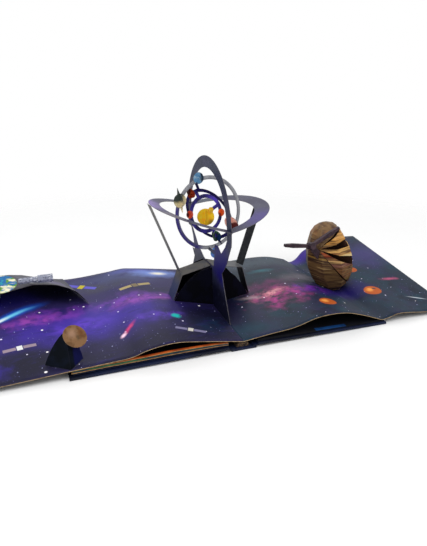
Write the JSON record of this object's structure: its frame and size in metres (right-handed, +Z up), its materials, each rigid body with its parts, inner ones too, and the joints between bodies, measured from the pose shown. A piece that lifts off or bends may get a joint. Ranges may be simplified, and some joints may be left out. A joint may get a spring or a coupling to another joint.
{
  "type": "pop-up book",
  "caption": "Hardcover pop-up book lying open at a spread with raised paper rings, planets on orbits, a slatted half-globe and fold-out wings",
  "frame": {"origin": "centre of the spine board's underside, on the surface that the book lies on", "axes": "+X across the open spread to the right, +Y from the reader's edge to the back, +Z up"},
  "size_m": [0.664, 0.262, 0.225],
  "materials": {
    "case_wrap": "satin printed paper over board",
    "leaf_edges": "cut paper edges",
    "leaf_dark": "cut paper edges, printed dark",
    "leaf_blue": "printed paper",
    "print_violet": "satin print",
    "print_teal": "satin print",
    "print_navy": "satin print",
    "card_slate": "printed card",
    "card_black": "printed card",
    "print_slate": "satin print",
    "card_grey": "printed card",
    "orbit_grey": "printed card",
    "orbit_indigo": "printed card",
    "print_yellow": "printed card",
    "planet_ice": "printed card",
    "planet_rust": "printed card",
    "planet_ringed": "printed card",
    "planet_ember": "printed card",
    "planet_orange": "printed card",
    "planet_rose": "printed card",
    "planet_green": "printed card",
    "planet_blue": "printed card",
    "globe_brown": "printed card",
    "globe_gold": "printed card",
    "globe_rust": "printed card",
    "globe_olive": "printed card",
    "card_brown": "printed card",
    "moon_brown": "printed card",
    "earth_print": "printed card",
    "telescope_silver": "silver print on card"
  },
  "bodies": {
    "centre": {"spine_board": "case_wrap", "groove_cloth_left": "case_wrap", "groove_cloth_right": "case_wrap", "leaf_backs": "leaf_edges", "gutter_strip": "print_violet", "ring_card": "print_navy", "bridge_strap": "card_slate", "v_fold_front": "card_black", "v_fold_back": "card_black", "level_ring": "print_slate", "strut_left": "card_grey", "strut_right": "card_grey", "orbit_outer": "orbit_grey", "orbit_middle": "orbit_indigo", "orbit_inner": "orbit_indigo", "sun": "print_yellow", "planet_ice": "planet_ice", "planet_rust": "planet_rust", "planet_ringed": "planet_ringed", "planet_ember": "planet_ember", "planet_orange": "planet_orange", "planet_rose": "planet_rose", "planet_green": "planet_green", "planet_blue": "planet_blue"},
    "left_side": {"cover_left": "case_wrap", "page_block_left": "leaf_edges", "spread_left": "print_violet", "moon_disc": "moon_brown", "moon_stand": "card_black", "arch_flap": "print_slate", "earth_discs": "earth_print", "telescope_barrel": "telescope_silver", "telescope_bay": "telescope_silver"},
    "right_side": {"cover_right": "case_wrap", "page_block_right": "leaf_dark", "blue_leaf_right": "leaf_blue", "spread_right": "print_teal", "globe_cap": "globe_brown", "globe_gold": "globe_gold", "globe_cream": "globe_gold", "globe_belly": "globe_rust", "globe_base": "globe_olive", "globe_core": "card_brown", "probe_hub": "card_brown", "probe_arm_left": "card_brown", "probe_arm_right": "card_brown", "probe_arm_low": "card_brown"}
  },
  "joints": [
    {"name": "left_cover_hinge", "type": "hinge", "parent": "centre", "child": "left_side", "pos_m": [-0.0185, 0, 0.003], "axis": [0, 1, 0], "range_deg": [0, 30], "deforming": ["bridge_strap", "v_fold_front", "v_fold_back", "gutter_strip", "groove_cloth_left"]},
    {"name": "right_cover_hinge", "type": "hinge", "parent": "centre", "child": "right_side", "pos_m": [0.0185, 0, 0.003], "axis": [0, -1, 0], "range_deg": [0, 30], "deforming": ["groove_cloth_right"]}
  ],
  "couplings": [
    {"joint": "right_cover_hinge", "follows": "left_cover_hinge", "ratio": 1}
  ]
}
